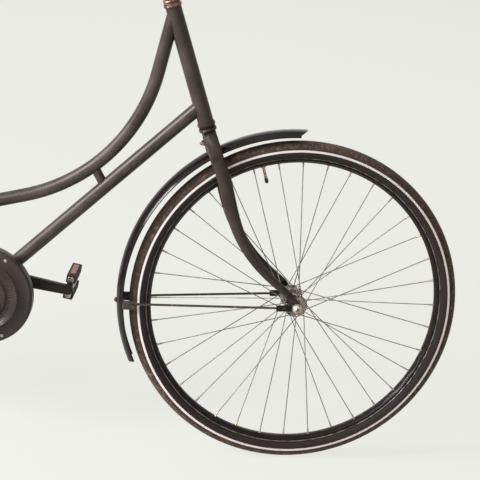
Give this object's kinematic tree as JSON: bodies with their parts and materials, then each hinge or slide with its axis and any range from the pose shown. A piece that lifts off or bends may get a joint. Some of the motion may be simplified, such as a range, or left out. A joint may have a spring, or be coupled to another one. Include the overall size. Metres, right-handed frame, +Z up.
{
  "type": "step-through city bicycle",
  "caption": "Step-through city bicycle with a curved top tube, full chaincase, mudguards, rear carrier and a two-leg stand, front wheel turned to the left.",
  "frame": {"origin": "on the ground, under the middle of the outline's box, with the front wheel turned as stored", "axes": "+X forward, +Y to the rider's left, +Z up"},
  "size_m": [1.8753, 0.6148, 1.1757],
  "materials": {
    "frame_paint": "matt black enamel, faded brownish",
    "guard_paint": "gloss black enamel",
    "case_shell": "semi-gloss dark sheet",
    "rim_paint": "black enamel",
    "crank_paint": "black enamel",
    "bright_steel": "dull plated steel",
    "chrome": "polished",
    "tyre": "dusty brownish black",
    "grip_rubber": "moulded",
    "pedal_rubber": "moulded",
    "saddle_cover": "dark grained",
    "red_lens": "moulded red"
  },
  "bodies": {
    "frame": {"head_tube": "frame_paint", "headset_cups": "bright_steel", "top_tube": "frame_paint", "bottom_bracket": "frame_paint", "down_tube": "frame_paint", "frame_bridge": "frame_paint", "seat_tube": "frame_paint", "rear_dropouts": "frame_paint", "chainstay_left": "frame_paint", "chainstay_right": "frame_paint", "seatstay_left": "frame_paint", "seatstay_right": "frame_paint", "chainstay_bridge": "frame_paint", "chaincase": "case_shell", "seat_clamp": "bright_steel", "seat_post": "chrome", "saddle_frame": "guard_paint", "saddle_cover": "saddle_cover", "rear_mudguard": "guard_paint", "rear_guard_stays": "guard_paint", "carrier_deck": "guard_paint", "carrier_stays": "guard_paint", "rear_reflector": "red_lens", "brake_arm": "bright_steel", "rear_axle": "bright_steel"},
    "steering": {"fork_crown": "frame_paint", "fork_blades": "frame_paint", "headset_locknut": "chrome", "stem": "chrome", "handlebar": "chrome", "grips": "grip_rubber", "bell": "chrome", "front_mudguard": "guard_paint", "front_guard_stays": "guard_paint", "front_axle": "bright_steel"},
    "front_wheel": {"front_rim": "rim_paint", "front_tyre": "tyre", "front_hub": "bright_steel"},
    "rear_wheel": {"rear_rim": "rim_paint", "rear_tyre": "tyre", "rear_hub": "bright_steel"},
    "crank": {"crank_spindle": "bright_steel", "crank_left": "crank_paint", "crank_right": "crank_paint"},
    "pedal_left": {"pedal_left_cage": "bright_steel", "pedal_left_blocks": "pedal_rubber"},
    "pedal_right": {"pedal_right_cage": "bright_steel", "pedal_right_blocks": "pedal_rubber"},
    "stand": {"stand": "guard_paint"}
  },
  "joints": [
    {"name": "steering_turn", "type": "hinge", "parent": "frame", "child": "steering", "pos_m": [0.32174, 0.0198, 0.863], "axis": [-0.342, 0, 0.9397], "range_deg": [-83, 57]},
    {"name": "front_wheel_spin", "type": "hinge", "parent": "steering", "child": "front_wheel", "pos_m": [0.58642, 0.03735, 0.358], "axis": [-0.2114, 0.9744, -0.0769], "continuous": true},
    {"name": "rear_wheel_spin", "type": "hinge", "parent": "frame", "child": "rear_wheel", "pos_m": [-0.5577, 0.0198, 0.384], "axis": [0, 1, 0], "continuous": true},
    {"name": "crank_turn", "type": "hinge", "parent": "frame", "child": "crank", "pos_m": [-0.0877, 0.0198, 0.315], "axis": [0, 1, 0], "continuous": true},
    {"name": "pedal_left_spin", "type": "hinge", "parent": "crank", "child": "pedal_left", "pos_m": [0.0814, 0.1458, 0.29752], "axis": [0, 1, 0], "continuous": true},
    {"name": "pedal_right_spin", "type": "hinge", "parent": "crank", "child": "pedal_right", "pos_m": [-0.2568, -0.1062, 0.33248], "axis": [0, 1, 0], "continuous": true},
    {"name": "stand_fold", "type": "hinge", "parent": "frame", "child": "stand", "pos_m": [-0.5577, 0.0198, 0.384], "axis": [0, 1, 0], "range_deg": [0, 112]}
  ]
}
